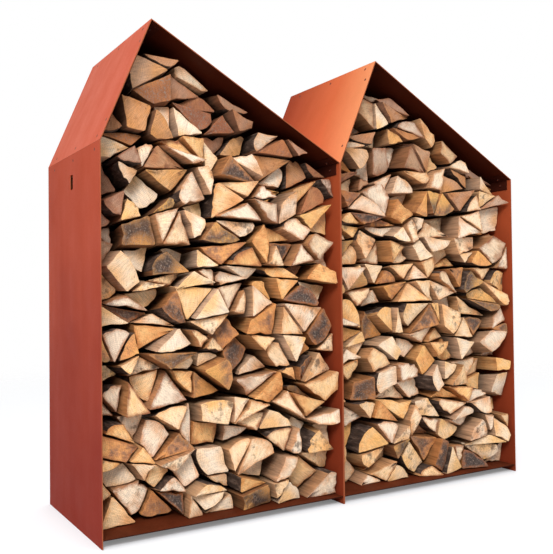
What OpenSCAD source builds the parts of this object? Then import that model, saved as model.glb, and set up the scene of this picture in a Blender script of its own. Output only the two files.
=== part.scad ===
// Log store: two house-shaped bays of folded rust-faced steel sheet, linked side by side, with split logs.
// Millimetres, +Z up. The origin is on the ground under the middle, and the open fronts face -Y.

/* [Bay] */
// Width of one bay over its side walls
bay_w = 900; // [700:10:1100]
// Depth of the bays from the front edges to the back
bay_d = 600; // [480:10:800]
// Height of the side walls, up to the eaves
eave_h = 1240; // [1000:10:1400]
// Height of the ridge above the ground
ridge_h = 1640; // [1520:10:1850]
// Distance of the ridge from the outer face of the bay's left wall
ridge_x = 170; // [130:5:300]
// Open line between the two bays where their walls meet
bay_gap = 0.6; // [0.3:0.1:0.9]

/* [Steel sheet] */
// Thickness of the walls and roof panels
sheet_t = 3; // [2.5:0.5:4]
// Inside radius of the folds
fold_r = 2; // [1:0.5:4]
// Width of the flange folded in along the back edges
rear_flange = 30; // [26:1:45]
// Open seam where two panels meet at an eave or at the ridge
seam_gap = 0.6; // [0.3:0.1:0.9]

/* [Side slots] */
// Width of the slot in each side wall
slot_w = 30; // [20:1:45]
// Height of the slot
slot_h = 50; // [35:1:80]
// Radius of the slot's corners
slot_r = 5; // [2:0.5:9]
// Distance from the eave down to the middle of the slot
slot_drop = 93; // [85:1:200]

/* [Joint strips] */
// Length of each leg of the bent strips inside the eaves and the ridge
strip_leg = 40; // [36:1:50]
// Thickness of the strips and of the bar behind the steep roof's front edge
strip_t = 3; // [2:0.5:4]
// Distance of the strips from the front edges
strip_inset = 20; // [10:1:35]
// Width of the bar behind the steep roof's front edge
bar_w = 40; // [30:1:60]
// Distance of the bar from the front edge
bar_inset = 6; // [3:1:12]
// Gap between the bar's ends and the strips
bar_gap = 4; // [1:0.5:10]
// Gap between the strips' ends and the back panel
strip_end = 3; // [1:0.5:20]
// Gap left by the paint on each side of a strip or bar
seat_gap = 0.05; // [0.02:0.01:0.2]

/* [Screws] */
// Diameter of the screws
screw_d = 5; // [4:0.5:6]
// Diameter of their flush heads
head_d = 10; // [8:0.5:12]
// Depth of the countersink
head_t = 2.4; // [1.5:0.1:2.4]
// Width of the hexagon socket in a head
socket_w = 3; // [2:0.5:3.5]
// Clearance round a screw in its holes, on the radius
hole_clear = 0.3; // [0.2:0.05:0.5]
// Width of a nut across its flats
nut_w = 8; // [7:0.5:10]
// Thickness of a nut
nut_t = 4; // [3:0.5:5]
// Clearance between a thread and its nut, on the radius
thread_clear = 0.1; // [0.05:0.05:0.2]
// Thread that stands out past a nut
thread_out = 1.5; // [0.5:0.5:2.5]
// Distance of a row of screws from its fold
screw_row = 22; // [19:1:28]
// Distance of the first screw of a row from the front edge
screw_front = 52; // [40:1:100]
// Distance of the last screw of a row from the back
screw_back = 90; // [60:1:150]
// Distance of the bar's screws from the eave and from the ridge
bar_screw = 75; // [65:1:110]

/* [Back panel] */
// Thickness of the back panel
back_t = 2; // [1.5:0.5:3]
// Clearance between the back panel and the folds round it
back_clear = 0.5; // [0.3:0.1:1]
// Diameter of the holes that fix the store to a wall behind it
fix_d = 9; // [7:0.5:12]
// Distance between the two wall fixing holes of a bay
fix_pitch = 600; // [300:10:640]
// Distance of these holes below the eaves
fix_drop = 110; // [60:5:250]
// Distance of the outermost back screws from the eaves and the ground
back_screw = 150; // [110:5:300]

/* [Floor] */
// Height of the floor plate's underside above the ground
floor_h = 25; // [20:1:40]
// Thickness of the floor plate
floor_t = 3; // [2:0.5:4]
// Height of the lip folded up along the floor's back edge
floor_lip = 25; // [15:1:50]
// Clearance between the floor plate and the walls
floor_clear = 0.5; // [0.3:0.1:0.9]
// Distance of the floor plate's front edge behind the walls' front edges
floor_inset = 2; // [0:0.5:6]
// Leg of the angle cleats welded to the walls under the floor
cleat_leg = 24; // [20:1:30]
// Thickness of the cleats
cleat_t = 3; // [2:0.5:4]
// Distance of the cleats from the front and back edges
cleat_inset = 60; // [40:5:120]
// Distance of the floor screws from the cleats' ends
cleat_screw = 30; // [15:1:60]
// Width of the box tubes under the floor
tube_w = 40; // [30:1:60]
// Wall thickness of the tubes
tube_t = 2; // [1.5:0.5:3]
// Distance of each tube's middle from the front or back edge
tube_inset = 150; // [120:5:220]
// Gap between the tubes' ends and the cleats
tube_gap = 4; // [1:0.5:20]

/* [Link between the bays] */
// Diameter of the link bolt
link_d = 8; // [6:1:10]
// Diameter of its round head
link_head_d = 14; // [12:0.5:18]
// Diameter of the flat top of the head
link_top_d = 8.5; // [6:0.5:12]
// Height of its round head
link_head_t = 4.4; // [3:0.2:5]
// Thickness of the two clamp plates
link_plate_t = 3; // [2:0.5:4]
// Margin by which a clamp plate covers the slot all round
link_margin = 8; // [5:1:14]
// Width of the thin link nut across its flats
link_nut_w = 13; // [10:0.5:17]
// Thickness of the thin link nut
link_nut_t = 4; // [3:0.5:5]

/* [Logs] */
// Usual width of a log's face
log_w = 116; // [100:2:170]
// Height of one course of logs
log_h = 77; // [65:1:110]
// Longest way across a log's face
log_longest = 164; // [150:1:230]
// Gap between logs that lie on each other, and between the lowest logs and the floor
log_gap = 0.3; // [0.2:0.1:0.8]
// Loosest gap between logs that stand side by side
log_loose = 7; // [2:0.5:10]
// Slope from which a joint between two logs counts as side by side, in degrees
loose_slope = 72; // [65:1:80]
// Distance of the pile from the walls and the steep roof
pile_clear = 12.5; // [12:0.5:25]
// Distance of the pile below the shallow roof
pile_headroom = 30; // [20:1:80]
// Width left at the top of the pile
pile_top_w = 130; // [100:5:200]
// Usual distance of the log ends from the front edges, at a bay's left wall
log_setback_left = 122; // [60:1:150]
// The same at a bay's right wall
log_setback_right = 34; // [30:1:150]
// Most that a log end stands out before that
log_proud = 28; // [0:1:35]
// Most that a log end is sunk behind that
log_sunk = 75; // [0:1:110]
// Least distance of the logs from the back panel
log_back = 12; // [11:0.5:40]
// Most by which a log is shorter than the room it has
log_short = 60; // [0:5:120]
// Largest cut at the corners of a log
corner_cut = 7; // [4:0.5:16]

/* [Hidden] */

LEFT = 0;
RIGHT = 1;
TIERS = 9;
$fn = 32;
rust_red = "#a8503c";
rust_orange = "#c86e4c";
rust_dark = "#6b3023";
bare_steel = "#8a8580";
split_wood = "#d8b080";
past = 1;      // how far a cut runs past what it cuts
touch = 0.001; // how far a countersink starts outside the sheet

// The bay's outline seen from the front, clockwise from its left foot, in x and z.
outline = [[0, 0], [0, eave_h], [ridge_x, ridge_h], [bay_w, eave_h], [bay_w, 0]];
WALL_L = 0;
STEEP = 1;
SHALLOW = 2;
WALL_R = 3;
LEFT_EAVE = 1;
RIDGE = 2;
RIGHT_EAVE = 3;

// Direction of a side of the outline, its inward normal, its length and its turn about Y.
function side_dir(i) = (outline[i + 1] - outline[i]) / norm(outline[i + 1] - outline[i]);
function side_in(i) = [side_dir(i).y, -side_dir(i).x];
function side_len(i) = norm(outline[i + 1] - outline[i]);
function side_turn(i) = atan2(side_dir(i).x, side_dir(i).y);

// Corner k of the outline drawn in by d on both its sides; the feet are drawn in level.
function corner(k, d) =
  k == 0 ? [d, 0] :
  k == 4 ? [bay_w - d, 0] :
  outline[k] + (side_in(k - 1) + side_in(k)) * d / (1 + side_in(k - 1) * side_in(k));

// Where a point lies along side i, and the x of side i, drawn in by d, at height z.
function along(i, p) = (p - outline[i]) * side_dir(i);
function side_x(i, z, d) = outline[i].x + (d + (z - outline[i].y) * side_dir(i).x) / side_dir(i).y;

inner_back = bay_d - sheet_t - back_t;   // front face of the back panel
floor_top = floor_h + floor_t;
slot_z = eave_h - slot_drop;
slot_y = bay_d / 2;
strip_seat = sheet_t + seat_gap;
roof_grip = strip_seat + strip_t + seat_gap;
back_grip = sheet_t + back_t;
floor_grip = floor_t + cleat_t;
flange_mid = (rear_flange + sheet_t + fold_r) / 2;
screw_mid = (screw_front + bay_d - screw_back) / 2;
screw_rows = [screw_front, screw_mid, bay_d - screw_back];
bar_y = bar_inset + bar_w / 2;

// Places of the roof screws as [side, distance along it, depth].
roof_places = [
  for (k = [LEFT_EAVE, RIDGE, RIGHT_EAVE]) for (y = screw_rows)
    each [[k - 1, side_len(k - 1) - screw_row, y], [k, screw_row, y]],
  [STEEP, bar_screw, bar_y],
  [STEEP, side_len(STEEP) - bar_screw, bar_y]
];

// Places of the back screws as [side, distance along it].
back_places = [
  for (z = [back_screw, eave_h / 2, eave_h - back_screw]) each [[WALL_L, z], [WALL_R, eave_h - z]],
  [STEEP, side_len(STEEP) / 2],
  for (part = [1 / 4, 3 / 4]) [SHALLOW, side_len(SHALLOW) * part]
];

// Places of the floor screws as [x, y], over the cleats.
floor_places = [
  for (x = [sheet_t + cleat_leg / 2, bay_w - sheet_t - cleat_leg / 2])
    for (y = [cleat_inset + cleat_screw, bay_d - cleat_inset - cleat_screw]) [x, y]
];

// Puts its children in the frame of one bay: x from its left wall, y from the front edges.
module in_bay(bay) {
  shift = bay == LEFT ? -bay_w - bay_gap / 2 : bay_gap / 2;
  translate([shift, -bay_d / 2, 0]) children();
}

// Extrudes a shape drawn in x and z from depth y0 to y1.
module along_y(y0, y1) {
  translate([0, y1, 0]) rotate([90, 0, 0]) linear_extrude(y1 - y0) children();
}

// Puts its children on side i: +X points in through the sheet, +Z runs along the side.
module on_side(i, s, y = 0) {
  translate([outline[i].x, y, outline[i].y])
    rotate([0, side_turn(i), 0])
      translate([0, 0, s]) children();
}

// Screw with a flush countersunk head: the head's face is at z = 0 and the shank points to +Z.
module screw(grip) {
  difference() {
    union() {
      cylinder(d1 = head_d, d2 = screw_d, h = head_t);
      cylinder(d = screw_d, h = grip + nut_t + thread_out);
    }
    translate([0, 0, -past]) cylinder(d = socket_w / cos(30), h = past + head_t * 0.7, $fn = 6);
  }
}

module screw_hole(depth) {
  translate([0, 0, -touch]) {
    cylinder(d1 = head_d + 2 * hole_clear, d2 = screw_d + 2 * hole_clear, h = head_t);
    cylinder(d = screw_d + 2 * hole_clear, h = depth + past);
  }
}

// Plain clearance hole for a screw that grips sheets of this depth.
module screw_way(depth) {
  cylinder(d = screw_d + 2 * hole_clear, h = depth + past);
}

module nut(width, thick, bore) {
  difference() {
    cylinder(d = width / cos(30), h = thick, $fn = 6);
    translate([0, 0, -past]) cylinder(d = bore + 2 * thread_clear, h = thick + 2 * past);
  }
}

// Section of a wall or roof panel: the sheet, the rear fold and the rear flange.
module panel_section() {
  outer_r = fold_r + sheet_t;
  square([sheet_t, bay_d - outer_r]);
  translate([outer_r, bay_d - sheet_t]) square([rear_flange - outer_r, sheet_t]);
  translate([outer_r, bay_d - outer_r]) intersection() {
    difference() {
      circle(r = outer_r);
      circle(r = fold_r);
    }
    translate([-outer_r, 0]) square(outer_r);
  }
}

module slot_cut() {
  for (w = [slot_w, slot_w - 2 * slot_r])
    cube([4 * sheet_t, w, w == slot_w ? slot_h - 2 * slot_r : slot_h], center = true);
  for (y = [-1, 1]) for (z = [-1, 1])
    translate([0, y * (slot_w / 2 - slot_r), z * (slot_h / 2 - slot_r)])
      rotate([0, 90, 0]) cylinder(r = slot_r, h = 4 * sheet_t, center = true);
}

// One wall or roof panel, mitred to its neighbours, with its screw holes.
module panel(i) {
  reach = rear_flange + past;
  half = seam_gap / 2;
  from = side_dir(i) * (i == WALL_L ? 0 : half);
  to = side_dir(i) * (i == WALL_R ? 0 : half);
  difference() {
    intersection() {
      on_side(i, -reach) linear_extrude(side_len(i) + 2 * reach) panel_section();
      along_y(-past, bay_d + past)
        polygon([corner(i, -past) + from, corner(i + 1, -past) - to, corner(i + 1, reach) - to,
                 corner(i, reach) + from]);
    }
    for (p = roof_places) if (p[0] == i)
      on_side(i, p[1], p[2]) rotate([0, 90, 0]) screw_hole(sheet_t);
    for (p = back_places) if (p[0] == i)
      on_side(i, p[1]) translate([flange_mid, bay_d, 0]) rotate([90, 0, 0]) screw_hole(sheet_t);
    if (i == WALL_L || i == WALL_R)
      translate([outline[i].x, slot_y, slot_z]) slot_cut();
  }
}

module wall(bay, i) {
  color(rust_red) in_bay(bay) panel(i);
}

module roof(bay, i) {
  color(rust_orange) in_bay(bay) panel(i);
}

// Bent strip inside corner k, screwed to both of the panels that meet there.
module corner_strip(bay, k) {
  color(rust_dark) in_bay(bay) difference() {
    bend = corner(k, strip_seat);
    along_y(strip_inset, inner_back - strip_end)
      polygon([bend, bend - side_dir(k - 1) * strip_leg,
               bend - side_dir(k - 1) * strip_leg + side_in(k - 1) * strip_t,
               corner(k, strip_seat + strip_t),
               bend + side_dir(k) * strip_leg + side_in(k) * strip_t,
               bend + side_dir(k) * strip_leg]);
    for (p = roof_places) if (p[2] != bar_y && (p[0] == k - 1 || p[0] == k))
      on_side(p[0], p[1], p[2]) rotate([0, 90, 0]) screw_way(roof_grip);
  }
}

// Flat bar behind the steep roof's front edge, between the eave strip and the ridge strip.
module edge_bar(bay) {
  from = along(STEEP, corner(LEFT_EAVE, strip_seat)) + strip_leg + bar_gap;
  to = along(STEEP, corner(RIDGE, strip_seat)) - strip_leg - bar_gap;
  color(rust_dark) in_bay(bay) difference() {
    on_side(STEEP, from, bar_inset) translate([strip_seat, 0, 0]) cube([strip_t, bar_w, to - from]);
    for (p = roof_places) if (p[2] == bar_y)
      on_side(STEEP, p[1], p[2]) rotate([0, 90, 0]) screw_way(roof_grip);
  }
}

// Back panel, behind the floor's lip and in front of the rear flanges, with its wall fixing holes.
module back_panel(bay) {
  edge = sheet_t + fold_r + back_clear;
  color(rust_red) in_bay(bay) difference() {
    along_y(inner_back, inner_back + back_t)
      polygon([[edge, floor_h], corner(LEFT_EAVE, edge), corner(RIDGE, edge), corner(RIGHT_EAVE, edge),
               [bay_w - edge, floor_h]]);
    for (p = back_places) on_side(p[0], p[1])
      translate([flange_mid, bay_d, 0]) rotate([90, 0, 0]) screw_way(back_grip);
    for (x = [-1, 1]) translate([bay_w / 2 + x * fix_pitch / 2, bay_d, eave_h - fix_drop])
      rotate([90, 0, 0]) cylinder(d = fix_d, h = back_grip + past);
  }
}

// Floor plate with a lip folded up along its back edge.
module floor_plate(bay) {
  outer_r = fold_r + floor_t;
  plate_w = bay_w - 2 * (sheet_t + floor_clear);
  color(rust_dark) in_bay(bay) difference() {
    translate([sheet_t + floor_clear, 0, 0]) rotate([90, 0, 90]) linear_extrude(plate_w) {
      translate([floor_inset, floor_h]) square([inner_back - outer_r - floor_inset, floor_t]);
      translate([inner_back - floor_t, floor_h + outer_r]) square([floor_t, floor_lip + floor_t - outer_r]);
      translate([inner_back - outer_r, floor_h + outer_r]) intersection() {
        difference() {
          circle(r = outer_r);
          circle(r = fold_r);
        }
        translate([0, -outer_r]) square(outer_r);
      }
    }
    for (p = floor_places) translate([p.x, p.y, floor_top]) mirror([0, 0, 1]) screw_hole(floor_t);
  }
}

// Angle cleats welded along both walls, which carry the floor plate's sides.
module floor_cleats(bay) {
  color(rust_dark) in_bay(bay) for (flip = [0, 1]) difference() {
    translate([flip * bay_w, 0, 0]) mirror([flip, 0, 0])
      along_y(cleat_inset, bay_d - cleat_inset)
        polygon([[sheet_t, floor_h - cleat_leg], [sheet_t + cleat_t, floor_h - cleat_leg],
                 [sheet_t + cleat_t, floor_h - cleat_t], [sheet_t + cleat_leg, floor_h - cleat_t],
                 [sheet_t + cleat_leg, floor_h], [sheet_t, floor_h]]);
    for (p = floor_places) translate([p.x, p.y, 0]) screw_way(floor_h);
  }
}

// Box tubes that lie on the ground and carry the middle of the floor plate.
module floor_tubes(bay) {
  end = sheet_t + cleat_leg + tube_gap;
  color(rust_dark) in_bay(bay) for (y = [tube_inset, bay_d - tube_inset])
    translate([end, y - tube_w / 2, 0]) difference() {
      cube([bay_w - 2 * end, tube_w, floor_h]);
      translate([-past, tube_t, tube_t])
        cube([bay_w - 2 * end + 2 * past, tube_w - 2 * tube_t, floor_h - 2 * tube_t]);
    }
}

module roof_screws(bay) {
  color(rust_dark) in_bay(bay) for (p = roof_places)
    on_side(p[0], p[1], p[2]) rotate([0, 90, 0]) screw(roof_grip);
}

module roof_nuts(bay) {
  color(bare_steel) in_bay(bay) for (p = roof_places)
    on_side(p[0], p[1], p[2]) translate([roof_grip, 0, 0]) rotate([0, 90, 0]) nut(nut_w, nut_t, screw_d);
}

module back_screws(bay) {
  color(rust_dark) in_bay(bay) for (p = back_places)
    on_side(p[0], p[1]) translate([flange_mid, bay_d, 0]) rotate([90, 0, 0]) screw(back_grip);
}

module back_nuts(bay) {
  color(bare_steel) in_bay(bay) for (p = back_places)
    on_side(p[0], p[1]) translate([flange_mid, inner_back, 0]) rotate([90, 0, 0])
      nut(nut_w, nut_t, screw_d);
}

module floor_screws(bay) {
  color(rust_dark) in_bay(bay) for (p = floor_places)
    translate([p.x, p.y, floor_top]) mirror([0, 0, 1]) screw(floor_grip);
}

module floor_nuts(bay) {
  color(bare_steel) in_bay(bay) for (p = floor_places)
    translate([p.x, p.y, floor_h - cleat_t]) mirror([0, 0, 1]) nut(nut_w, nut_t, screw_d);
}

// Link between the bays: a bolt through both inner slots clamps the walls between two plates.
link_half = sheet_t + bay_gap / 2;   // from the middle of the store to an inner wall's inside face

module at_link() {
  translate([0, slot_y - bay_d / 2, slot_z]) rotate([0, 90, 0]) children();
}

module link_bolt() {
  head_at = link_half + link_plate_t;
  color(bare_steel) at_link() {
    translate([0, 0, -head_at - link_head_t]) cylinder(d1 = link_top_d, d2 = link_head_d, h = link_head_t);
    translate([0, 0, -head_at]) cylinder(d = link_d, h = 2 * head_at + link_nut_t + thread_out);
  }
}

module link_plates() {
  color(bare_steel) at_link() for (side = [-1, 1])
    translate([0, 0, side * (link_half + link_plate_t / 2)]) difference() {
      cube([slot_h + 2 * link_margin, slot_w + 2 * link_margin, link_plate_t], center = true);
      cylinder(d = link_d + 2 * hole_clear, h = link_plate_t + 2 * past, center = true);
    }
}

module link_nut() {
  color(bare_steel) at_link() translate([0, 0, link_half + link_plate_t])
    nut(link_nut_w, link_nut_t, link_d);
}

// The pile. Its courses are rows of points across the bay, set out of line by a fixed random rule.
// The strip between two rows is cut into triangles, and neighbouring triangles are joined where
// that gives a convex face. Each face, drawn in a little and with its corners cut, is one log.
function chance(a, b, c) = let (s = sin(a * 127.1 + b * 311.7 + c * 74.7 + 19.3) * 43758.5453) s - floor(s);
function spread(a, b, c) = 2 * chance(a, b, c) - 1;
function cross2(a, b) = a.x * b.y - a.y * b.x;

row_shift = 0.36;     // most that a point of a row is moved, as a share of the spacing
row_sway = 0.3;       // most that a row swings up and down, as a share of a course
upright_share = 0.6;  // how many places of a row take an upright log, where it fits
triple_share = 0.12;  // how many faces are made of three triangles, where they fit
double_share = 0.85;  // how many of the rest are made of two
bark_share = 0.5;     // how many logs have a round barked side
bark_drop = 0.16;     // how far such a side drops at its ends, as a share of the sides next to it
least_cut = 0.25;     // smallest corner cut, as a share of the largest
most_cut = 0.3;       // most that a corner cut takes of a side
least_turn = 0.12;    // sine of the least turn at a corner of a face
least_face = 2000;    // area below which a face is left empty

pile_low = floor_top + log_gap / 2;
pile_top =
  (side_x(SHALLOW, 0, sheet_t + pile_headroom) - side_x(STEEP, 0, sheet_t + pile_clear) - pile_top_w)
  / (side_dir(STEEP).x / side_dir(STEEP).y - side_dir(SHALLOW).x / side_dir(SHALLOW).y);
courses = round((pile_top - pile_low) / log_h);

function pile_left(z) = max(sheet_t + pile_clear, side_x(STEEP, z, sheet_t + pile_clear));
function pile_right(z) = min(bay_w - sheet_t - pile_clear, side_x(SHALLOW, z, sheet_t + pile_headroom));

// Point k of row r: rows sway a little, and odd rows have their points half a log aside.
function row_count(r, z) = max(1, round((pile_right(z) - pile_left(z)) / log_w));
function row_point(bay, r, k, n, z0) = let (
    odd = r % 2,
    last = n + odd,
    edge = k == 0 || k == last,
    step = (pile_top - pile_low) / courses,
    share = edge ? k / last : (k - odd / 2 + row_shift * spread(r, k, 1 + bay)) / n,
    sway = row_sway * step * sin(360 * share + 50 * r + 120 * bay),
    lift = r == 0 ? 0 : r == courses ? -row_sway * step * chance(r, k, 3 + bay)
      : sway + row_shift * step * spread(r, k, 5 + bay),
    z = z0 + lift
  ) [pile_left(z) + share * (pile_right(z) - pile_left(z)), z];
function pile_row(bay, r) = let (
    z = pile_low + r * (pile_top - pile_low) / courses,
    n = row_count(r, z)
  ) [for (k = [0 : n + r % 2]) row_point(bay, r, k, n, z)];

// The strip between rows a and b as steps [i, j]: each step moves one place along either row,
// by the shorter crossing unless that turns the triangle over.
function strip_steps(a, b, i = 0, j = 0) = let (
    a_left = i < len(a) - 1,
    b_left = j < len(b) - 1,
    a_good = a_left && cross2(a[i + 1] - a[i], b[j] - a[i + 1]) > 0,
    b_good = b_left && cross2(b[j + 1] - a[i], b[j] - b[j + 1]) > 0,
    on_a = a_good && b_good ? norm(a[i + 1] - b[j]) < norm(a[i] - b[j + 1]) : a_good || !b_left
  ) concat([[i, j]], !a_left && !b_left ? [] : strip_steps(a, b, on_a ? i + 1 : i, on_a ? j : j + 1));

// The face between two steps of a strip, anticlockwise.
function strip_face(a, b, from, to) =
  concat([for (i = [from[0] : to[0]]) a[i]], [for (j = [to[1] : -1 : from[1]]) b[j]]);

function edge_turn(face, i) = let (n = len(face), p = face[i], q = face[(i + 1) % n], r = face[(i + 2) % n])
  cross2(q - p, r - q) / (norm(q - p) * norm(r - q));
function convex(face) = min([for (i = [0 : len(face) - 1]) edge_turn(face, i)]) > least_turn;
function reach(face) = max([for (p = face) for (q = face) norm(p - q)]);
function fits(face) = convex(face) && reach(face) < log_longest;
function area(face) = let (n = len(face))
  [for (i = [0 : n - 1]) cross2(face[i], face[(i + 1) % n])] * [for (p = face) 1 / 2];

// Upright pairs: the triangles above and below one piece of a row, joined to a diamond.
function base_below(steps, k) = [for (s = [0 : len(steps) - 2])
  if (steps[s][1] == k && steps[s + 1][1] == k + 1) steps[s][0]][0];
function base_above(steps, k) = [for (s = [0 : len(steps) - 2])
  if (steps[s][0] == k && steps[s + 1][0] == k + 1) steps[s][1]][0];
function diamond(rows, steps, r, k) =
  [rows[r - 1][base_below(steps[r - 1], k)], rows[r][k + 1],
   rows[r + 1][base_above(steps[r], k)], rows[r][k]];
function upright(rows, steps, bay, r, k) =
  r > 0 && r < len(rows) - 1 && chance(r, k, 11 + bay) < upright_share && fits(diamond(rows, steps, r, k));

// Whether the triangle after step s of strip r is used up by a diamond.
function taken(rows, steps, bay, r, s) = let (p = steps[r][s], q = steps[r][s + 1])
  q[0] > p[0] ? upright(rows, steps, bay, r, p[0]) : upright(rows, steps, bay, r + 1, p[1]);

// The faces of one strip from step s on: three, two or one triangle at a time.
function strip_faces(rows, steps, bay, r, s = 0) = let (
    last = len(steps[r]) - 1,
    free = [for (m = [0 : 2]) s + m < last && !taken(rows, steps, bay, r, s + m)],
    want = chance(r, s, 17 + bay),
    triple = s + 3 <= last ? strip_face(rows[r], rows[r + 1], steps[r][s], steps[r][s + 3]) : [],
    double = s + 2 <= last ? strip_face(rows[r], rows[r + 1], steps[r][s], steps[r][s + 2]) : [],
    take = s >= last ? 0
      : !free[0] ? 1
      : free[1] && free[2] && want < triple_share && fits(triple) ? 3
      : free[1] && want < double_share && fits(double) ? 2 : 1
  ) s >= last ? [] : concat(
    free[0] ? [strip_face(rows[r], rows[r + 1], steps[r][s], steps[r][s + take])] : [],
    strip_faces(rows, steps, bay, r, s + take));

// Faces of course r: those of its strip, and the diamonds that stand on its lower row.
function course_faces(rows, steps, bay, r) = concat(
  strip_faces(rows, steps, bay, r),
  [for (k = [0 : len(rows[r]) - 2]) if (upright(rows, steps, bay, r, k)) diamond(rows, steps, r, k)]);

// A face drawn in: tight where logs carry each other, looser at the sides that stand upright.
function drawn_in(face, seed) = let (
    n = len(face),
    dir = [for (i = [0 : n - 1]) (face[(i + 1) % n] - face[i]) / norm(face[(i + 1) % n] - face[i])],
    gap = [for (i = [0 : n - 1]) let (side_by_side = abs(dir[i].y) > sin(loose_slope))
      (side_by_side ? log_gap + (log_loose - log_gap) * chance(seed, i, 23) : log_gap) / 2]
  ) [for (i = [0 : n - 1]) let (
      h = (i + n - 1) % n,
      turn = cross2(dir[h], dir[i])
    ) face[i] + (dir[i] * gap[h] - dir[h] * gap[i]) / turn];

// The outline of a log: its corners are cut, and one side may be an arc where the bark was.
function bow(a, b, c, parts, first) = [for (m = [first : parts]) let (t = m / parts)
  a * pow(1 - t, 2) + b * 2 * t * (1 - t) + c * pow(t, 2)];
function log_outline(face, seed) = let (
    n = len(face),
    bark = chance(seed, 1, 29) < bark_share ? floor(chance(seed, 2, 31) * n) : -1
  ) [for (i = [0 : n - 1]) let (
      p = face[(i + n - 1) % n],
      q = face[i],
      r = face[(i + 1) % n],
      before = bark == (i + n - 1) % n,
      after = bark == i,
      cut = min(corner_cut * (least_cut + (1 - least_cut) * chance(seed, i, 37)),
                most_cut * norm(p - q), most_cut * norm(r - q)),
      from = before ? (p + q) / 2 : after ? q + (p - q) * bark_drop : q + (p - q) * cut / norm(p - q),
      to = after ? (q + r) / 2 : before ? q + (r - q) * bark_drop : q + (r - q) * cut / norm(r - q)
    ) each (before ? bow(from, (from + q) / 2, to, 3, 1) : after ? bow(from, (q + to) / 2, to, 3, 0) : [from, to])];

// Depth of a log's front end: most stand a little proud of the pile, and few are sunk deep in it.
function log_front(face, seed) = let (
    at = [for (p = face) p.x] * [for (p = face) 1 / len(face)] / bay_w,
    usual = log_setback_left + (log_setback_right - log_setback_left) * at
  ) usual - log_proud + (log_proud + log_sunk) * pow(chance(seed, 3, 43), 2);

pile_rows = [for (bay = [LEFT, RIGHT]) [for (r = [0 : courses]) pile_row(bay, r)]];
pile_steps = [for (rows = pile_rows) [for (r = [0 : courses - 1]) strip_steps(rows[r], rows[r + 1])]];

// One tier of a bay's pile, each log a solid of its own.
module logs(bay, tier) {
  color(split_wood) in_bay(bay)
    for (r = [0 : courses - 1]) if (floor(r * TIERS / courses) == tier - 1) {
      faces = course_faces(pile_rows[bay], pile_steps[bay], bay, r);
      for (k = [0 : len(faces) - 1]) {
        seed = 41 * r + k + 500 * bay;
        front = log_front(faces[k], seed);
        back = inner_back - log_back - log_short * chance(seed, 4, 47);
        face = drawn_in(faces[k], seed);
        if (area(face) > least_face) along_y(front, back) polygon(log_outline(face, seed));
      }
    }
}

wall(LEFT, WALL_L);  // left_outer_wall
wall(LEFT, WALL_R);  // left_inner_wall
roof(LEFT, STEEP);  // left_steep_roof
roof(LEFT, SHALLOW);  // left_shallow_roof
back_panel(LEFT);  // left_back_panel
corner_strip(LEFT, LEFT_EAVE);  // left_outer_eave_strip
corner_strip(LEFT, RIGHT_EAVE);  // left_inner_eave_strip
corner_strip(LEFT, RIDGE);  // left_ridge_strip
edge_bar(LEFT);  // left_edge_bar
floor_plate(LEFT);  // left_floor
floor_cleats(LEFT);  // left_floor_cleats
floor_tubes(LEFT);  // left_floor_tubes
roof_screws(LEFT);  // left_roof_screws
roof_nuts(LEFT);  // left_roof_nuts
back_screws(LEFT);  // left_back_screws
back_nuts(LEFT);  // left_back_nuts
floor_screws(LEFT);  // left_floor_screws
floor_nuts(LEFT);  // left_floor_nuts
wall(RIGHT, WALL_L);  // right_inner_wall
wall(RIGHT, WALL_R);  // right_outer_wall
roof(RIGHT, STEEP);  // right_steep_roof
roof(RIGHT, SHALLOW);  // right_shallow_roof
back_panel(RIGHT);  // right_back_panel
corner_strip(RIGHT, LEFT_EAVE);  // right_inner_eave_strip
corner_strip(RIGHT, RIGHT_EAVE);  // right_outer_eave_strip
corner_strip(RIGHT, RIDGE);  // right_ridge_strip
edge_bar(RIGHT);  // right_edge_bar
floor_plate(RIGHT);  // right_floor
floor_cleats(RIGHT);  // right_floor_cleats
floor_tubes(RIGHT);  // right_floor_tubes
roof_screws(RIGHT);  // right_roof_screws
roof_nuts(RIGHT);  // right_roof_nuts
back_screws(RIGHT);  // right_back_screws
back_nuts(RIGHT);  // right_back_nuts
floor_screws(RIGHT);  // right_floor_screws
floor_nuts(RIGHT);  // right_floor_nuts
link_bolt();
link_plates();
link_nut();
for (tier = [1 : TIERS]) {
  logs(LEFT, tier);
  logs(RIGHT, tier);
}
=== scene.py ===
from math import cos, pi, radians, sin

import bmesh
import bpy
import numpy as np
from mathutils import Matrix, Vector


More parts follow.
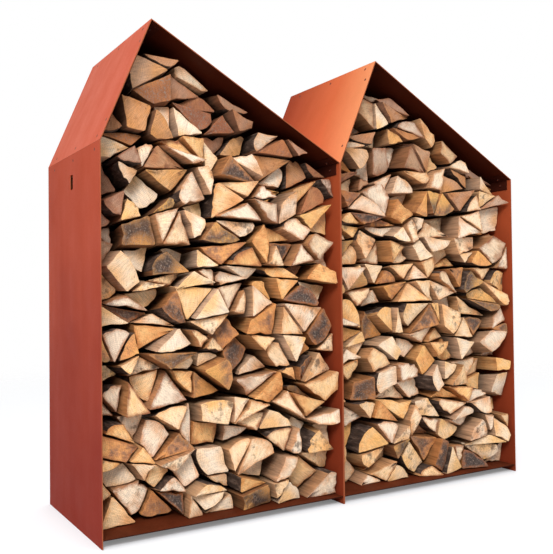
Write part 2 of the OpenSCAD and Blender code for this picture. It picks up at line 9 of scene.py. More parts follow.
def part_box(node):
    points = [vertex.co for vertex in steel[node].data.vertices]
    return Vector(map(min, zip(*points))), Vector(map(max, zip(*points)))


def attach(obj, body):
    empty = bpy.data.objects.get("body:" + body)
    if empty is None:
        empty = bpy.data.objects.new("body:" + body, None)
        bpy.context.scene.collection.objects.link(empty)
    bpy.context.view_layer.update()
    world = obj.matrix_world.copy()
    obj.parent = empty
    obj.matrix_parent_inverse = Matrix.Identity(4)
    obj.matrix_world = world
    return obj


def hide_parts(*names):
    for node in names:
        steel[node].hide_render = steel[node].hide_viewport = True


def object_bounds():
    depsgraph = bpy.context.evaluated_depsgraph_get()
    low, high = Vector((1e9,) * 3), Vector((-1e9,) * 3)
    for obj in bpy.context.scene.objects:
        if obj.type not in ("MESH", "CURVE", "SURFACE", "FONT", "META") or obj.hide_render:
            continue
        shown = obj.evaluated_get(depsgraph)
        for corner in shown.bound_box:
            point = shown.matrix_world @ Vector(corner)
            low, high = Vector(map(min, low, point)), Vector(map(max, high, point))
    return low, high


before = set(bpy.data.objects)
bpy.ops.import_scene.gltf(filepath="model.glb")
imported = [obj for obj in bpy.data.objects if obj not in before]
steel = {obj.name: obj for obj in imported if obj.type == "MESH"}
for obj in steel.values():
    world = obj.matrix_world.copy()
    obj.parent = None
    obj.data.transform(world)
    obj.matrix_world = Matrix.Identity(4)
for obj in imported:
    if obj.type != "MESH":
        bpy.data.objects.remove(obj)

cad_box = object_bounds()

# Camera
# The camera stands in front of the store's left corner at half its height, turned to the right
# towards the open fronts and tipped up a little.
camera_place = (-1.6327, -2.5284, 0.7712)
turned_right = radians(31.305)
tipped_up = radians(1.118)
rolled = radians(-0.617)
focal_length = 49.1
sensor_width = 36

camera_data = bpy.data.cameras.new("camera")
camera_data.sensor_width = sensor_width
camera_data.lens = focal_length
camera = bpy.data.objects.new("camera", camera_data)
bpy.context.scene.collection.objects.link(camera)
camera.matrix_world = (
    Matrix.Translation(camera_place)
    @ Matrix.Rotation(-turned_right, 4, "Z")
    @ Matrix.Rotation(pi / 2 + tipped_up, 4, "X")
    @ Matrix.Rotation(rolled, 4, "Z")
)
bpy.context.scene.camera = camera
bpy.context.scene.view_settings.view_transform = "Standard"


# Floor and light
# A pale studio floor that fades into a white background, with one large soft lamp high on the
# left, a weaker one on the right and a soft light from all round, stronger from above.
def shader_node(tree, kind, inputs=(), **settings):
    """Adds a node. An input is given by name or number, as a value or as another node's output."""
    made = tree.nodes.new("ShaderNode" + kind)
    for name, value in settings.items():
        setattr(made, name, value)
    for name, value in dict(inputs).items():
        if isinstance(value, bpy.types.NodeSocket):
            tree.links.new(value, made.inputs[name])
        else:
            made.inputs[name].default_value = value
    return made


def maths(tree, operation, a, b=0.0, c=0.0):
    return shader_node(tree, "Math", {0: a, 1: b, 2: c}, operation=operation).outputs[0]


def new_material(name):
    made = bpy.data.materials.new(name)
    made.use_nodes = True
    made.node_tree.nodes.clear()
    return made, made.node_tree


# the floor glows a little, with painted shade where the store shelters it, and light comes more from
# above
floor_size = 24.0
floor_drop = 0.0004
floor_colour = (0.66, 0.67, 0.69, 1)
floor_glow = 0.36
fade_from, fade_to = 2.0, 6.0
shade_reach, shaded_glow = 0.08, 0.50
light_level, light_above = 0.34, 0.66

bpy.ops.object.select_all(action="DESELECT")
bpy.ops.mesh.primitive_plane_add(size=floor_size, location=(0, 0, -floor_drop))
studio_floor = bpy.context.object
studio_floor.name = "studio_floor"
floor_finish, tree = new_material("studio_floor")
place = shader_node(tree, "TexCoord")
reach = shader_node(tree, "VectorMath", {0: place.outputs["Object"]}, operation="LENGTH")
fade = shader_node(tree, "MapRange", {"Value": reach.outputs["Value"], "From Min": fade_from,
                                      "From Max": fade_to}, interpolation_type="SMOOTHSTEP")
matt = shader_node(tree, "BsdfDiffuse", {"Color": floor_colour})
seen = shader_node(tree, "LightPath")
unshaded = shader_node(tree, "AmbientOcclusion", {"Distance": shade_reach})
glow = shader_node(tree, "MapRange", {"Value": unshaded.outputs["AO"], "To Min": shaded_glow})
glow = maths(tree, "MULTIPLY", seen.outputs["Is Camera Ray"], glow.outputs[0])
glow = maths(tree, "MULTIPLY", glow, floor_glow)
white = shader_node(tree, "Emission", {"Strength": glow})
pale = shader_node(tree, "AddShader", {0: matt.outputs[0], 1: white.outputs[0]})
nothing = shader_node(tree, "BsdfTransparent")
faded = shader_node(tree, "MixShader", {0: fade.outputs["Result"], 1: pale.outputs[0],
                                        2: nothing.outputs[0]})
shader_node(tree, "OutputMaterial", {"Surface": faded.outputs[0]})
studio_floor.data.materials.append(floor_finish)

# whatever looks straight at the sky sees it white, and the store gets a weaker light from it
studio = bpy.data.worlds.new("studio")
bpy.context.scene.world = studio
studio.use_nodes = True
tree = studio.node_tree
tree.nodes.clear()
ray = shader_node(tree, "LightPath")
seen = maths(tree, "MAXIMUM", ray.outputs["Is Camera Ray"], ray.outputs["Is Transmission Ray"])
seen = maths(tree, "MAXIMUM", seen, ray.outputs["Is Glossy Ray"])
sight = shader_node(tree, "TexCoord")
upwards = shader_node(tree, "SeparateXYZ", {0: sight.outputs["Generated"]})
above = shader_node(tree, "MapRange", {"Value": upwards.outputs["Z"], "To Min": light_level,
                                       "To Max": light_level + light_above})
strength = shader_node(tree, "MapRange", {"Value": seen, "To Min": above.outputs["Result"],
                                          "To Max": 1.0})
sky = shader_node(tree, "Background", {"Color": (1, 1, 1, 1), "Strength": strength.outputs["Result"]})
shader_node(tree, "OutputWorld", {"Surface": sky.outputs[0]})


def add_lamp(name, place, aim, size, power):
    data = bpy.data.lights.new(name, "AREA")
    data.shape = "SQUARE"
    data.size = size
    data.energy = power
    lamp = bpy.data.objects.new(name, data)
    bpy.context.scene.collection.objects.link(lamp)
    lamp.location = place
    lamp.rotation_euler = (Vector(aim) - Vector(place)).to_track_quat("-Z", "Y").to_euler()


lamp_aim = (0, 0, 0.8)
add_lamp("key_lamp", place=(-3.0, -4.2, 3.8), aim=lamp_aim, size=2.0, power=275)
add_lamp("fill_lamp", place=(3.6, -4.0, 2.2), aim=lamp_aim, size=3.0, power=50)


# Side walls
# Four walls of 3 mm weathering steel, cut with their slots and countersunk holes, and folded in
# along the back. A smooth rust skin covers them, redder low down and scuffed on the front edges.
def colour_band(tree, value, *stops):
    """A colour that runs through the given stops, each a place from 0 to 1 and a colour."""
    made = shader_node(tree, "ValToRGB", {0: value})
    band = made.color_ramp.elements
    # a new stop may start anywhere, because its place is set below
    while len(band) < len(stops):
        band.new(0.5)
    for element, (at, colour) in zip(band, stops):
        element.position, element.color = at, (*colour, 1)
    return made.outputs["Color"]


def noise(tree, vector, scale, detail, rough=0.5):
    """A mottled value, mostly near a half."""
    return shader_node(tree, "TexNoise", {"Vector": vector, "Scale": scale, "Detail": detail,
                                          "Roughness": rough}).outputs["Fac"]


def mixed(tree, factor, first, second):
    """A colour between two others. Of the node's many sockets these numbers are its colours."""
    return shader_node(tree, "Mix", {0: factor, 6: first, 7: second}, data_type="RGBA").outputs[2]


def lit(tree, colour, level):
    """The colour times the level."""
    return shader_node(tree, "VectorMath", {0: colour, "Scale": level}, operation="SCALE").outputs[0]


red_below, orange_above = 0.1, 1.35
height_swing = 0.9
run_stretch = (14, 14, 2.5)
freckle_share = 0.7
mottle_span = {"From Min": 0.9, "From Max": 1.8}
highlight_span = {"From Min": 0.34, "From Max": -0.30}
faces_front, shade_threshold = -0.95, 0.3
dull_gain, shine_gain = 0.10, 0.08


def rust_skin(name, low, high, edge, mottle, rough=0.5, inward=(0, 0, 0), painted_shade=1.0, painted_highlight=None):
    """A satin rust skin: its colours near the ground, near the ridge and on the cut front edges, how
    much it is mottled, how rough it is, which way the faces that get painted shade look, how dark
    that painted shade is, and the colour band of a painted highlight that grows towards the front."""
    made, tree = new_material(name)
    place = shader_node(tree, "TexCoord")
    here = place.outputs["Object"]
    up = shader_node(tree, "SeparateXYZ", {0: here})
    cloud = noise(tree, here, scale=2.6, detail=3.0)
    rise = maths(tree, "MULTIPLY_ADD", cloud, height_swing, -height_swing / 2)
    rise = maths(tree, "ADD", up.outputs["Z"], rise)
    height = shader_node(tree, "MapRange", {"Value": rise, "From Min": red_below,
                                            "From Max": orange_above},
                         interpolation_type="SMOOTHSTEP")
    skin = mixed(tree, height.outputs["Result"], (*low, 1), (*high, 1))
    # soft patches, fine freckles, and runs down the sheet
    patch = noise(tree, here, scale=9.0, detail=5.0, rough=0.6)
    fine = noise(tree, here, scale=130.0, detail=3.0, rough=0.6)
    drawn = shader_node(tree, "Mapping", {"Vector": here, "Scale": run_stretch})
    runs = noise(tree, drawn.outputs[0], scale=1.0, detail=2.0)
    tone = maths(tree, "MULTIPLY_ADD", fine, freckle_share, maths(tree, "ADD", patch, runs))
    level = shader_node(tree, "MapRange", {"Value": tone, **mottle_span,
                                           "To Min": 1 - mottle, "To Max": 1 + mottle})
    # painted light: the band runs from painted shade at the back to a painted highlight at the front
    if painted_highlight:
        sun = shader_node(tree, "MapRange", {"Value": up.outputs["Y"], **highlight_span})
        skin = colour_band(tree, sun.outputs["Result"], *painted_highlight)
    skin = lit(tree, skin, level.outputs["Result"])
    # the cut edges that face forwards are scuffed to a lighter tone, but on the floor plate they are
    # painted near black as painted shade
    facing = shader_node(tree, "SeparateXYZ", {0: place.outputs["Normal"]})
    front = maths(tree, "LESS_THAN", facing.outputs["Y"], faces_front)
    skin = mixed(tree, front, skin, (*edge, 1))
    # faces turned the given way are darkened by the given level: painted shade
    if painted_shade < 1:
        turned_in = shader_node(tree, "VectorMath", {0: place.outputs["Normal"], 1: inward},
                                operation="DOT_PRODUCT")
        shaded_face = maths(tree, "GREATER_THAN", turned_in.outputs["Value"], shade_threshold)
        shadow = shader_node(tree, "MapRange", {"Value": shaded_face, "To Min": 1.0, "To Max": painted_shade})
        skin = lit(tree, skin, shadow.outputs["Result"])
    gloss = shader_node(tree, "MapRange", {"Value": tone, **mottle_span,
                                           "To Min": rough + dull_gain,
                                           "To Max": rough - shine_gain})
    bump = shader_node(tree, "Bump", {"Strength": 0.25, "Distance": 0.0004, "Height": fine})
    shader = shader_node(tree, "BsdfPrincipled", {"Base Color": skin,
                                                  "Roughness": gloss.outputs["Result"],
                                                  "Specular IOR Level": 0.03,
                                                  "Normal": bump.outputs[0]})
    shader_node(tree, "OutputMaterial", {"Surface": shader.outputs[0]})
    return made


def dress(material, *names):
    for name in names:
        steel[name].data.materials.clear()
        steel[name].data.materials.append(material)


cut_edge = (0.31, 0.085, 0.036)
wall_mottle = 0.05
# the faces turned into each bay are darkened: painted shade
facing_right = rust_skin("rust_skin_walls_left", low=(0.270, 0.030, 0.016), high=(0.470, 0.072, 0.030),
                         edge=cut_edge, mottle=wall_mottle, inward=(1, 0, 0), painted_shade=0.7)
facing_left = rust_skin("rust_skin_walls_right", low=(0.275, 0.044, 0.017), high=(0.475, 0.092, 0.032),
                        edge=cut_edge, mottle=wall_mottle, inward=(-1, 0, 0), painted_shade=0.85)
dress(facing_right, "left_outer_wall", "right_inner_wall")
dress(facing_left, "left_inner_wall", "right_outer_wall")

# Floor plates
# A plate folded up at its back lies on cleats welded to the walls and on two box tubes that stand
# on the ground. The rust is darker and duller here, under the logs.
bays = ("left", "right")
floor_rust = (0.105, 0.022, 0.008)
# its front edges get a near black edge colour: painted shade under the plate
floor_skin = rust_skin("rust_skin_floor", low=floor_rust, high=floor_rust, edge=(0.030, 0.008, 0.005),
                       mottle=0.25, rough=0.62)
for bay in bays:
    dress(floor_skin, f"{bay}_floor", f"{bay}_floor_cleats", f"{bay}_floor_tubes")

# Back panels
# One 2 mm sheet closes each bay behind the logs, screwed to the folded flanges. The side that it
# turns to the logs is painted much darker than its back: painted shade.
back_skin = rust_skin("rust_skin_back", low=(0.22, 0.036, 0.022), high=(0.34, 0.060, 0.028),
                      edge=(0.24, 0.06, 0.035), mottle=0.16, rough=0.6, inward=(0, -1, 0),
                      painted_shade=0.3)
dress(back_skin, "left_back_panel", "right_back_panel")

# Joint strips
# Bent strips lie inside the eaves and the ridge, and a flat bar behind the steep roof's edge. The
# roof's screws hold them, and their rust is painted nearly black as painted shade, like the roof's
# underside.
strip_rust_and_shade = (0.045, 0.009, 0.005)
strip_skin = rust_skin("rust_skin_strips", low=strip_rust_and_shade, high=strip_rust_and_shade, edge=strip_rust_and_shade,
                       mottle=0.16, rough=0.6)
for bay in bays:
    dress(strip_skin, f"{bay}_outer_eave_strip", f"{bay}_inner_eave_strip")
    dress(strip_skin, f"{bay}_ridge_strip", f"{bay}_edge_bar")

# Roof panels
# Steep and shallow panels of 3 mm sheet, mitred to the walls and to each other. They are more
# orange than the walls, with a painted highlight growing towards the front of the right bay's
# steep roof, and painted shade makes them nearly black underneath.
roof_rust = (0.56, 0.092, 0.036)
# painted light on the right steep roof: dark at the back, a painted highlight at the front
highlight_band = ((0.0, (0.263, 0.028, 0.005)), (0.2, (0.373, 0.057, 0.015)), (0.67, (0.643, 0.142, 0.047)),
            (1.0, (0.78, 0.278, 0.113)))
roof_look = {"low": roof_rust, "high": roof_rust, "edge": cut_edge, "mottle": 0.06, "rough": 0.42,
             "inward": (0, 0, -1), "painted_shade": 0.105}
roof_skin = rust_skin("rust_skin_roofs", **roof_look)
highlit_skin = rust_skin("rust_skin_highlit_roof", **roof_look, painted_highlight=highlight_band)
dress(roof_skin, "left_steep_roof", "left_shallow_roof", "right_shallow_roof")
dress(highlit_skin, "right_steep_roof")


# Screws, nuts and the link
# Flush screws of darkened steel, and nuts painted nearly black as painted shade inside the bays, as is
# the bolt with its clamp plates and thin nut that holds the two bays together through the inner slots.
def dark_steel(name, colour, rough):
    made, tree = new_material(name)
    place = shader_node(tree, "TexCoord")
    grime = noise(tree, place.outputs["Object"], scale=220.0, detail=4.0)
    level = shader_node(tree, "MapRange", {"Value": grime, "From Min": 0.3, "From Max": 0.7,
                                           "To Min": 0.75, "To Max": 1.15})
    shade = lit(tree, colour, level.outputs["Result"])
    bump = shader_node(tree, "Bump", {"Strength": 0.2, "Distance": 0.0002, "Height": grime})
    shader = shader_node(tree, "BsdfPrincipled", {"Base Color": shade, "Roughness": rough,
                                                  "Specular IOR Level": 0.15,
                                                  "Normal": bump.outputs[0]})
    shader_node(tree, "OutputMaterial", {"Surface": shader.outputs[0]})
    return made


screw_finish = dark_steel("darkened_screws", colour=(0.16, 0.040, 0.022), rough=0.55)
# the nuts and the link are nearly black: painted shade inside the bays
nut_finish = dark_steel("nuts_in_painted_shade", colour=(0.042, 0.012, 0.008), rough=0.65)
for bay in bays:
    dress(screw_finish, f"{bay}_roof_screws", f"{bay}_back_screws", f"{bay}_floor_screws")
    dress(nut_finish, f"{bay}_roof_nuts", f"{bay}_back_nuts", f"{bay}_floor_nuts")
dress(nut_finish, "link_bolt", "link_plates", "link_nut")

# Split logs
# Half-metre logs, sawn to length and split into wedges, stacked with their cut ends forwards.
# Most are pale, some are orange or brown at the heart, and many keep bark on one side.
wood_tones = ((0.0, (0.78, 0.63, 0.48)), (0.24, (0.79, 0.58, 0.38)), (0.46, (0.80, 0.53, 0.29)),
              (0.64, (0.77, 0.44, 0.18)), (0.77, (0.63, 0.28, 0.100)), (0.85, (0.34, 0.160, 0.082)),
              (0.90, (0.13, 0.070, 0.047)), (0.96, (0.060, 0.042, 0.036)))
heart_tones = ((0.0, (0.74, 0.40, 0.12)), (0.5, (0.58, 0.22, 0.062)), (1.0, (0.26, 0.098, 0.047)))
roof_shaded_tones = ((0.0, (0.44, 0.165, 0.050)), (0.6, (0.30, 0.105, 0.050)), (1.0, (0.21, 0.095, 0.062)))
bark_tones = ((0.30, (0.020, 0.015, 0.012)), (0.52, (0.085, 0.052, 0.038)), (0.72, (0.27, 0.19, 0.145)))
blue_stain = (0.085, 0.055, 0.042, 1)
speckles = (0.24, 0.175, 0.135, 1)
split_side = (0.54, 0.215, 0.065, 1)
roof_shaded_side = (0.19, 0.068, 0.034, 1)
bark_line = (0.060, 0.034, 0.022, 1)
ring_width = 0.0058
deepest_end_shade, deepest_side_shade = 0.78, 0.80
# how a pattern is drawn out: flat through the log, along its fibres, down its bark, by the saw
through_log, along_fibres, down_bark, by_saw = (1, 1, 0), (1, 1, 0.045), (1, 1, 0.22), (0.16, 1, 1)


def split_wood():
    made, tree = new_material("split_wood")

    def value_of(name, output="Fac"):
        return shader_node(tree, "Attribute", attribute_name=name).outputs[output]

    def times(a, b):
        return maths(tree, "MULTIPLY", a, b)

    def greater(a, b):
        return maths(tree, "MAXIMUM", a, b)

    def plus(base, value, share):
        return maths(tree, "MULTIPLY_ADD", value, share, base)

    def centred(value):
        return maths(tree, "SUBTRACT", value, 0.5)

    def cloud(vector, scale, detail=3.0, rough=0.55):
        return noise(tree, vector, scale, detail, rough)

    def spread(value, low, high, to_low=0.0, to_high=1.0):
        return shader_node(tree, "MapRange", {0: value, 1: low, 2: high, 3: to_low,
                                              4: to_high}).outputs["Result"]

    def blend(factor, a, b):
        return mixed(tree, factor, a, b)

    def stretched(vector, by):
        return shader_node(tree, "VectorMath", {0: vector, 1: by}, operation="MULTIPLY").outputs[0]

    grain = value_of("grain", "Vector")
    tone, tint, rimmed, shade_near_roof = (value_of(name) for name in ("tone", "tint", "rimmed", "shade_near_roof"))
    outer, end, bark, rind = (value_of(name) for name in ("outer", "cut_end", "bark", "rind"))
    rim, depth = value_of("rim"), value_of("depth")
    radius = shader_node(tree, "VectorMath", {0: stretched(grain, through_log)},
                         operation="LENGTH").outputs["Value"]
    radius = plus(radius, cloud(grain, scale=22.0), share=0.012)

    # the cut end: the wood's own colour, a stained side, the heart, blue stain, and painted shade
    # that browns and darkens the logs under the roof
    uneven = centred(cloud(grain, scale=30.0, detail=5.0, rough=0.65))
    here = plus(plus(tone, uneven, share=0.55), outer, share=0.07)
    sap = colour_band(tree, here, *wood_tones)
    heart = colour_band(tree, tint, *heart_tones)
    middle = spread(plus(radius, tint, share=0.05), low=0.045, high=0.085, to_low=0.7, to_high=0.0)
    stained = spread(plus(outer, uneven, share=2.4), low=0.10, high=0.90)
    stained = times(stained, spread(rimmed, low=0.15, high=0.70, to_high=0.80))
    edge = spread(plus(rim, uneven, share=1.1), low=0.68, high=1.06)
    edge = times(edge, plus(base=0.25, value=tint, share=0.75))
    stained = greater(stained, edge)
    fresh = blend(greater(middle, stained), sap, heart)
    blue = plus(cloud(grain, scale=34.0, detail=5.0, rough=0.65), rimmed, share=0.30)
    fresh = blend(spread(blue, low=0.80, high=0.92, to_high=0.75), fresh, blue_stain)
    roof_shaded = colour_band(tree, tint, *roof_shaded_tones)
    fresh = blend(times(shade_near_roof, deepest_end_shade), fresh, roof_shaded)
    # growth rings, fibres torn by the saw, and dirt
    ring = maths(tree, "SINE", times(radius, 2 * pi / ring_width))
    torn = cloud(stretched(grain, by_saw), scale=210.0, detail=5.0, rough=0.75)
    fleck = cloud(grain, scale=330.0, detail=2.0)
    dirt = cloud(grain, scale=95.0, detail=3.0, rough=0.6)
    light = plus(base=1.06, value=times(ring, cloud(grain, scale=60.0)), share=0.17)
    light = plus(light, centred(fleck), share=0.5)
    light = plus(light, centred(torn), share=1.35)
    light = plus(light, uneven, share=0.5)
    light = times(light, spread(dirt, low=0.27, high=0.36, to_low=0.55))
    end_colour = lit(tree, fresh, light)
    # the darkest ends are speckled
    speckled = spread(cloud(grain, scale=170.0, detail=3.0, rough=0.7), low=0.54, high=0.64)
    speckled = times(spread(here, low=0.80, high=0.90), speckled)
    end_colour = blend(speckled, end_colour, speckles)

    # the split sides: long fibres, a little warmer and darker than the ends
    fibre = cloud(stretched(grain, along_fibres), scale=160.0, detail=4.0, rough=0.65)
    broad = cloud(stretched(grain, along_fibres), scale=34.0)
    side_base = blend(plus(base=0.40, value=tint, share=0.45), sap, split_side)
    # near the roof the sides are browned as painted shade too
    side_base = blend(times(shade_near_roof, deepest_side_shade), side_base, roof_shaded_side)
    side_light = plus(base=0.90, value=centred(fibre), share=1.5)
    side_light = plus(side_light, centred(broad), share=1.2)
    # away from the ends they darken: painted shade deep in the gaps between the logs, with their dust
    # and damp
    gap_shade_and_dust = spread(depth, low=0.004, high=0.100, to_low=1.0, to_high=0.42)
    side_colour = lit(tree, side_base, times(side_light, gap_shade_and_dust))

    # the bark: grey-brown, furrowed along the log, and a thin dark line round the end
    furrow = cloud(stretched(grain, down_bark), scale=75.0, detail=5.0, rough=0.7)
    bark_colour = colour_band(tree, furrow, *bark_tones)
    end_colour = blend(spread(rind, low=0.25, high=0.6), end_colour, bark_line)
    colour = blend(bark, blend(end, side_colour, end_colour), bark_colour)

    # relief: each share is a height in metres
    patch = cloud(grain, scale=48.0, detail=4.0, rough=0.6)
    end_height = plus(times(fleck, 0.0004), torn, share=0.0020)
    end_height = plus(end_height, patch, share=0.0030)
    side_height = plus(times(fibre, 0.0016), broad, share=0.0040)
    height = blend(end, side_height, end_height)
    height = blend(bark, height, times(furrow, 0.0050))
    bump = shader_node(tree, "Bump", {"Strength": 0.9, "Distance": 1.0, "Height": height})
    shader = shader_node(tree, "BsdfPrincipled", {"Base Color": colour, "Roughness": 0.85,
                                                  "Specular IOR Level": 0.2,
                                                  "Normal": bump.outputs[0]})
    shader_node(tree, "OutputMaterial", {"Surface": shader.outputs[0]})
    return made


# the outline of a bay's steel from the front, which the logs stay clear of
bay_left = {"left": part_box("left_outer_wall")[0][0], "right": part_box("right_inner_wall")[0][0]}
bay_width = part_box("left_inner_wall")[1][0] - bay_left["left"]
eave_height, ridge_height, ridge_from_left, floor_top = 1.24, 1.64, 0.17, 0.028
bay_corners = ((0, floor_top), (0, eave_height), (ridge_from_left, ridge_height),
               (bay_width, eave_height), (bay_width, floor_top))
roofs, right_wall = slice(1, 3), 3
clear_of_steel, clear_of_front = 0.0045, 0.002
front_limit = cad_box[0][1] + clear_of_front
# how finely a log is cut: rings behind its front end, and sides halved while they are long
rings_at = (0.012, 0.050, 0.180)
coarse_side, halvings = 0.030, 2
merge_reach, flat_turn = 0.00001, radians(0.5)
squarely = 0.9
# the front end's worn rim
worn_rim, worn_back = 0.0016, 0.0009
end_slope = 0.55
crease_turn = radians(24)


def select_by(logs, mode, wanted):
    """In edit mode: selects the edges or faces that the test picks."""
    bpy.ops.mesh.select_mode(type=mode)
    bpy.ops.mesh.select_all(action="DESELECT")
    cage = bmesh.from_edit_mesh(logs.data)
    for piece in cage.edges if mode == "EDGE" else cage.faces:
        piece.select_set(wanted(piece))
    bmesh.update_edit_mesh(logs.data)


def lengthwise(edge):
    along = edge.verts[1].co - edge.verts[0].co
    return abs(along.y) > squarely * along.length


def rough_out(logs):
    """Cuts each log of a tier finer: points along the rims of its ends, and rings down its length."""
    bpy.ops.object.select_all(action="DESELECT")
    bpy.context.view_layer.objects.active = logs
    logs.select_set(True)
    bpy.ops.object.mode_set(mode="EDIT")
    bpy.ops.mesh.select_mode(type="VERT")
    bpy.ops.mesh.select_all(action="SELECT")
    bpy.ops.mesh.remove_doubles(threshold=merge_reach)
    bpy.ops.mesh.dissolve_limited(angle_limit=flat_turn)
    for halving in range(halvings):
        select_by(logs, "EDGE", lambda edge: not lengthwise(edge) and edge.calc_length() > coarse_side)
        bpy.ops.mesh.subdivide(number_cuts=1)
    select_by(logs, "FACE", lambda face: abs(face.normal.y) > squarely)
    bpy.ops.mesh.dissolve_faces()
    select_by(logs, "EDGE", lengthwise)
    bpy.ops.mesh.subdivide(number_cuts=len(rings_at))
    bpy.ops.object.mode_set(mode="OBJECT")
    # each face remembers the way that it faced when the log was still a prism
    facing = np.zeros(len(logs.data.polygons) * 3)
    logs.data.polygons.foreach_get("normal", facing)
    logs.data.attributes.new("first_facing", "FLOAT_VECTOR", "FACE").data.foreach_set("vector", facing)


def finish_ends(logs):
    """Wears the rim of each front end back and gives the end a middle point. Returns the numbers
    of the first point inside a rim and of the first middle point."""
    bpy.ops.object.mode_set(mode="EDIT")
    select_by(logs, "FACE", lambda face: face.normal.y < -end_slope)
    first_inner = len(bmesh.from_edit_mesh(logs.data).verts)
    bpy.ops.mesh.inset(thickness=worn_rim, depth=worn_back, use_individual=True)
    first_middle = len(bmesh.from_edit_mesh(logs.data).verts)
    bpy.ops.mesh.poke()
    bpy.ops.object.mode_set(mode="OBJECT")
    bpy.ops.object.shade_smooth_by_angle(angle=crease_turn)
    return first_inner, first_middle


def points_of(mesh):
    place = np.zeros(len(mesh.vertices) * 3)
    mesh.vertices.foreach_get("co", place)
    return place.reshape(-1, 3)


def log_of_each_point(mesh):
    """Numbers the separate logs of a tier: the same number for all points that edges join."""
    number = np.arange(len(mesh.vertices))
    ends = np.zeros(len(mesh.edges) * 2, int)
    mesh.edges.foreach_get("vertices", ends)
    ends = ends.reshape(-1, 2)
    while True:
        before = number.copy()
        lowest = np.minimum(number[ends[:, 0]], number[ends[:, 1]])
        np.minimum.at(number, ends[:, 0], lowest)
        np.minimum.at(number, ends[:, 1], lowest)
        if (number == before).all():
            return number


def room_to_steel(across, bay):
    """The distance of each point from each panel of its bay, and the panels' inward directions."""
    corners = np.array(bay_corners) + (bay_left[bay], 0)
    along = np.roll(corners, -1, 0) - corners
    inward = np.stack([along[:, 1], -along[:, 0]], 1) / np.hypot(*along.T)[:, None]
    return ((across[:, None, :] - corners[None]) * inward[None]).sum(2), inward


# how far the split sides wander, how much slimmer and more tapered a log may be, and its lean
chip_shape, chip_size, fuzz, least_reach = 1.2, 0.0016, 0.0004, 0.015
place_digits, turn_digits = 5, 2
slim_by, taper_by, turn_spread = (0.03, 0.17), (0, 0.06), 0.08
lean_spread, lean_depth = 0.065, 0.2
# the pile leans on the right wall, and its top is lifted towards the ridge
wall_lean, wall_reach = 0.010, 0.12
heap_from, heap_to, heap_rise = 1.38, 1.53, 0.014
# how far the saw ran out of square, and how that fades behind the front end
cut_spread, cut_most = 0.17, 0.34
cut_depths, cut_shares = (0, 0.05, 0.18), (1, 0.6, 0)
saw_fuzz, saw_depth = 0.0006, 0.1


def rough_hew(logs, bay, seed):
    """Gives each log its own splintered outline, taper, lean and out-of-square front end."""
    draw = np.random.default_rng(seed)
    place = points_of(logs.data)
    number = log_of_each_point(logs.data)
    for log in np.unique(number):
        mine = np.flatnonzero(number == log)
        at = place[mine]
        across = at[:, [0, 2]]
        first_room, inward = room_to_steel(across, bay)
        front, back = at[:, 1].min(), at[:, 1].max()
        ring = np.rint((at[:, 1] - front) / (back - front) * (len(rings_at) + 1)).astype(int)
        depth = np.array([0, *rings_at, back - front])[ring]
        middle = across[ring == 0].mean(0)
        off = across - middle
        reach = np.hypot(*off.T)
        # the split sides wander, and splinters are missing from them
        columns, column = np.unique(np.round(across, place_digits), axis=0, return_inverse=True)
        column = column.ravel()
        chipped = draw.gamma(chip_shape, chip_size, len(columns))[column]
        chipped = chipped + draw.normal(0, fuzz, len(mine))
        slim = 1 - draw.uniform(*slim_by) - draw.uniform(*taper_by) * depth / (back - front)
        turn = draw.normal(0, turn_spread)
        off = np.stack([off[:, 0] * np.cos(turn) - off[:, 1] * np.sin(turn),
                        off[:, 0] * np.sin(turn) + off[:, 1] * np.cos(turn)], 1)
        off *= (slim - chipped / np.maximum(reach, least_reach))[:, None]
        # the log doesn't lie quite square to the front
        lean = draw.normal(0, lean_spread, 2)
        across = middle + off + lean * np.minimum(depth, lean_depth)[:, None]
        # those near the right wall lean on it, and those under the ridge are lifted
        wall_room = room_to_steel(across, bay)[0][:, right_wall]
        across[:, 0] += wall_lean * np.clip(1 - wall_room / wall_reach, 0, 1)
        heap = np.clip((across[:, 1] - heap_from) / (heap_to - heap_from), 0, 1)
        across[:, 1] += heap_rise * heap ** 2 * (3 - 2 * heap)
        # each point keeps the clearance to the steel, or the room that it had where that was less
        for panel in range(len(inward)):
            now = room_to_steel(across, bay)[0][:, panel]
            short = np.minimum(first_room[:, panel], clear_of_steel) - now
            across += np.maximum(short, 0)[:, None] * inward[panel]
        # the saw ran out of square
        tilt = np.clip(draw.normal(0, cut_spread, 2), -cut_most, cut_most)
        shift = off @ tilt * np.interp(depth, cut_depths, cut_shares)
        at[:, 0], at[:, 2] = across.T
        at[:, 1] = front + depth + shift + draw.normal(0, saw_fuzz, len(mine)) * (depth < saw_depth)
        at[:, 1] += max(0.0, front_limit - at[:, 1].min())
        place[mine] = at
    logs.data.vertices.foreach_set("co", place.ravel())
    logs.data.update()


# a side is round where at least round_least of its facets face within round_reach of one of them
round_reach, round_least = radians(32), 4
bark_reach, bark_on_round, bark_on_flat = radians(38), 0.8, 0.15
side_least = 0.5
# how far off the heart of the tree lay, and how far along the grain each log is read
heart_off, grain_apart = (0.03, 0.085), (0, 40)
pale_bias = 1.6
# the nearer to the roof, the more of the logs are browned and darkened as painted shade
roof_shaded_reach, roof_shaded_share, roof_shaded_edge = (0.04, 0.36), (0.97, 0), 2.2


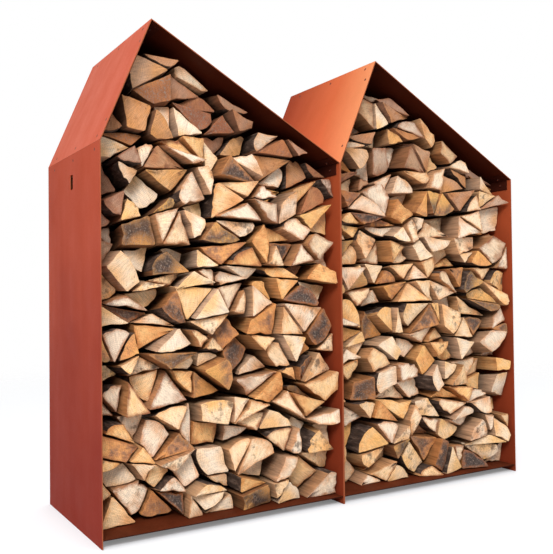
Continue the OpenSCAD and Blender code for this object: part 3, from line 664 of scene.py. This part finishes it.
def age_wood(logs, first_inner, first_middle, seed):
    """Sets the values that the wood reads: where the heart of the tree lay, tone, stains, painted shade
    near the roof, and bark.
    """
    draw = np.random.default_rng(seed)
    mesh = logs.data
    place = points_of(mesh)
    number = log_of_each_point(mesh)
    corner = np.array([face.vertices[0] for face in mesh.polygons])
    facing = np.zeros(len(corner) * 3)
    mesh.attributes["first_facing"].data.foreach_get("vector", facing)
    facing = facing.reshape(-1, 3)[:, [0, 2]]
    on_side = np.hypot(*facing.T) > side_least
    grain = np.zeros_like(place)
    names = ("tone", "tint", "rimmed", "shade_near_roof", "outer", "depth")
    values = {name: np.zeros(len(place)) for name in names}
    bark_way, barked = np.zeros((len(place), 2)), np.zeros(len(place))
    for log in np.unique(number):
        mine = np.flatnonzero(number == log)
        at = place[mine]
        front = at[:, 1].min()
        middle = at[:, [0, 2]].mean(0)
        way = draw.uniform(0, 2 * pi)
        out = np.array([cos(way), sin(way)])
        # a round side is where the bark was, and the heart lay opposite to it
        turns = facing[on_side & (number[corner] == log)]
        turns = np.unique(np.round(turns, turn_digits), axis=0)
        alike = turns @ turns.T > cos(round_reach)
        roundest = alike.sum(1).argmax()
        is_round = alike[roundest].sum() >= round_least
        if is_round:
            out = turns[alike[roundest]].mean(0)
            out /= np.hypot(*out)
        off = at[:, [0, 2]] - middle
        # x runs from the heart outwards, y round it, z along the log
        grain[mine] = np.stack([off @ out + draw.uniform(*heart_off), off @ (-out[1], out[0]),
                                at[:, 1] - front + draw.uniform(*grain_apart)], 1)
        bay = "left" if middle[0] < 0 else "right"
        roof_room = room_to_steel(middle[None], bay)[0][0, roofs].min()
        near_roof = np.interp(roof_room, roof_shaded_reach, roof_shaded_share)
        values["shade_near_roof"][mine] = np.clip((near_roof - draw.uniform(0, 1)) * roof_shaded_edge, 0, 1)
        values["tone"][mine] = draw.uniform(0, 1) ** pale_bias
        values["tint"][mine] = draw.uniform(0, 1)
        values["rimmed"][mine] = draw.uniform(0, 1)
        values["outer"][mine] = off @ out / np.abs(off @ out).max()
        values["depth"][mine] = at[:, 1] - front
        bark_way[mine] = out
        barked[mine] = draw.uniform(0, 1) < (bark_on_round if is_round else bark_on_flat)
    for name in names:
        mesh.attributes.new(name, "FLOAT", "POINT").data.foreach_set("value", values[name])
    mesh.attributes.new("grain", "FLOAT_VECTOR", "POINT").data.foreach_set("vector", grain.ravel())
    ends = np.array([float(max(face.vertices) >= first_inner or abs(face.normal.y) > end_slope)
                     for face in mesh.polygons])
    outwards = (facing * bark_way[corner]).sum(1) > cos(bark_reach)
    bark = outwards * barked[corner] * (1 - ends)
    rim = (np.arange(len(place)) < first_middle).astype(float)
    rind = np.zeros(len(place))
    for face, barky in zip(mesh.polygons, bark):
        if barky:
            rind[list(face.vertices)] = 1
    rind[values["depth"] > rings_at[-1]] = 0
    mesh.attributes.new("cut_end", "FLOAT", "FACE").data.foreach_set("value", ends)
    mesh.attributes.new("bark", "FLOAT", "FACE").data.foreach_set("value", bark)
    mesh.attributes.new("rind", "FLOAT", "POINT").data.foreach_set("value", rind)
    mesh.attributes.new("rim", "FLOAT", "POINT").data.foreach_set("value", rim)


first_seeds = {"left": 100, "right": 200}
ageing_seeds = 50
tiers = 9

wood = split_wood()
for bay, first_seed in first_seeds.items():
    for tier in range(1, tiers + 1):
        cad_name = f"{bay}_logs_{tier}"
        logs = bpy.data.objects.new(f"{bay}_split_logs_{tier}", steel[cad_name].data.copy())
        bpy.context.scene.collection.objects.link(logs)
        rough_out(logs)
        rough_hew(logs, bay, first_seed + tier)
        age_wood(logs, *finish_ends(logs), first_seed + ageing_seeds + tier)
        logs.data.materials.clear()
        logs.data.materials.append(wood)
        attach(logs, f"{bay}_stack")
        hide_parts(cad_name)

bpy.context.view_layer.update()
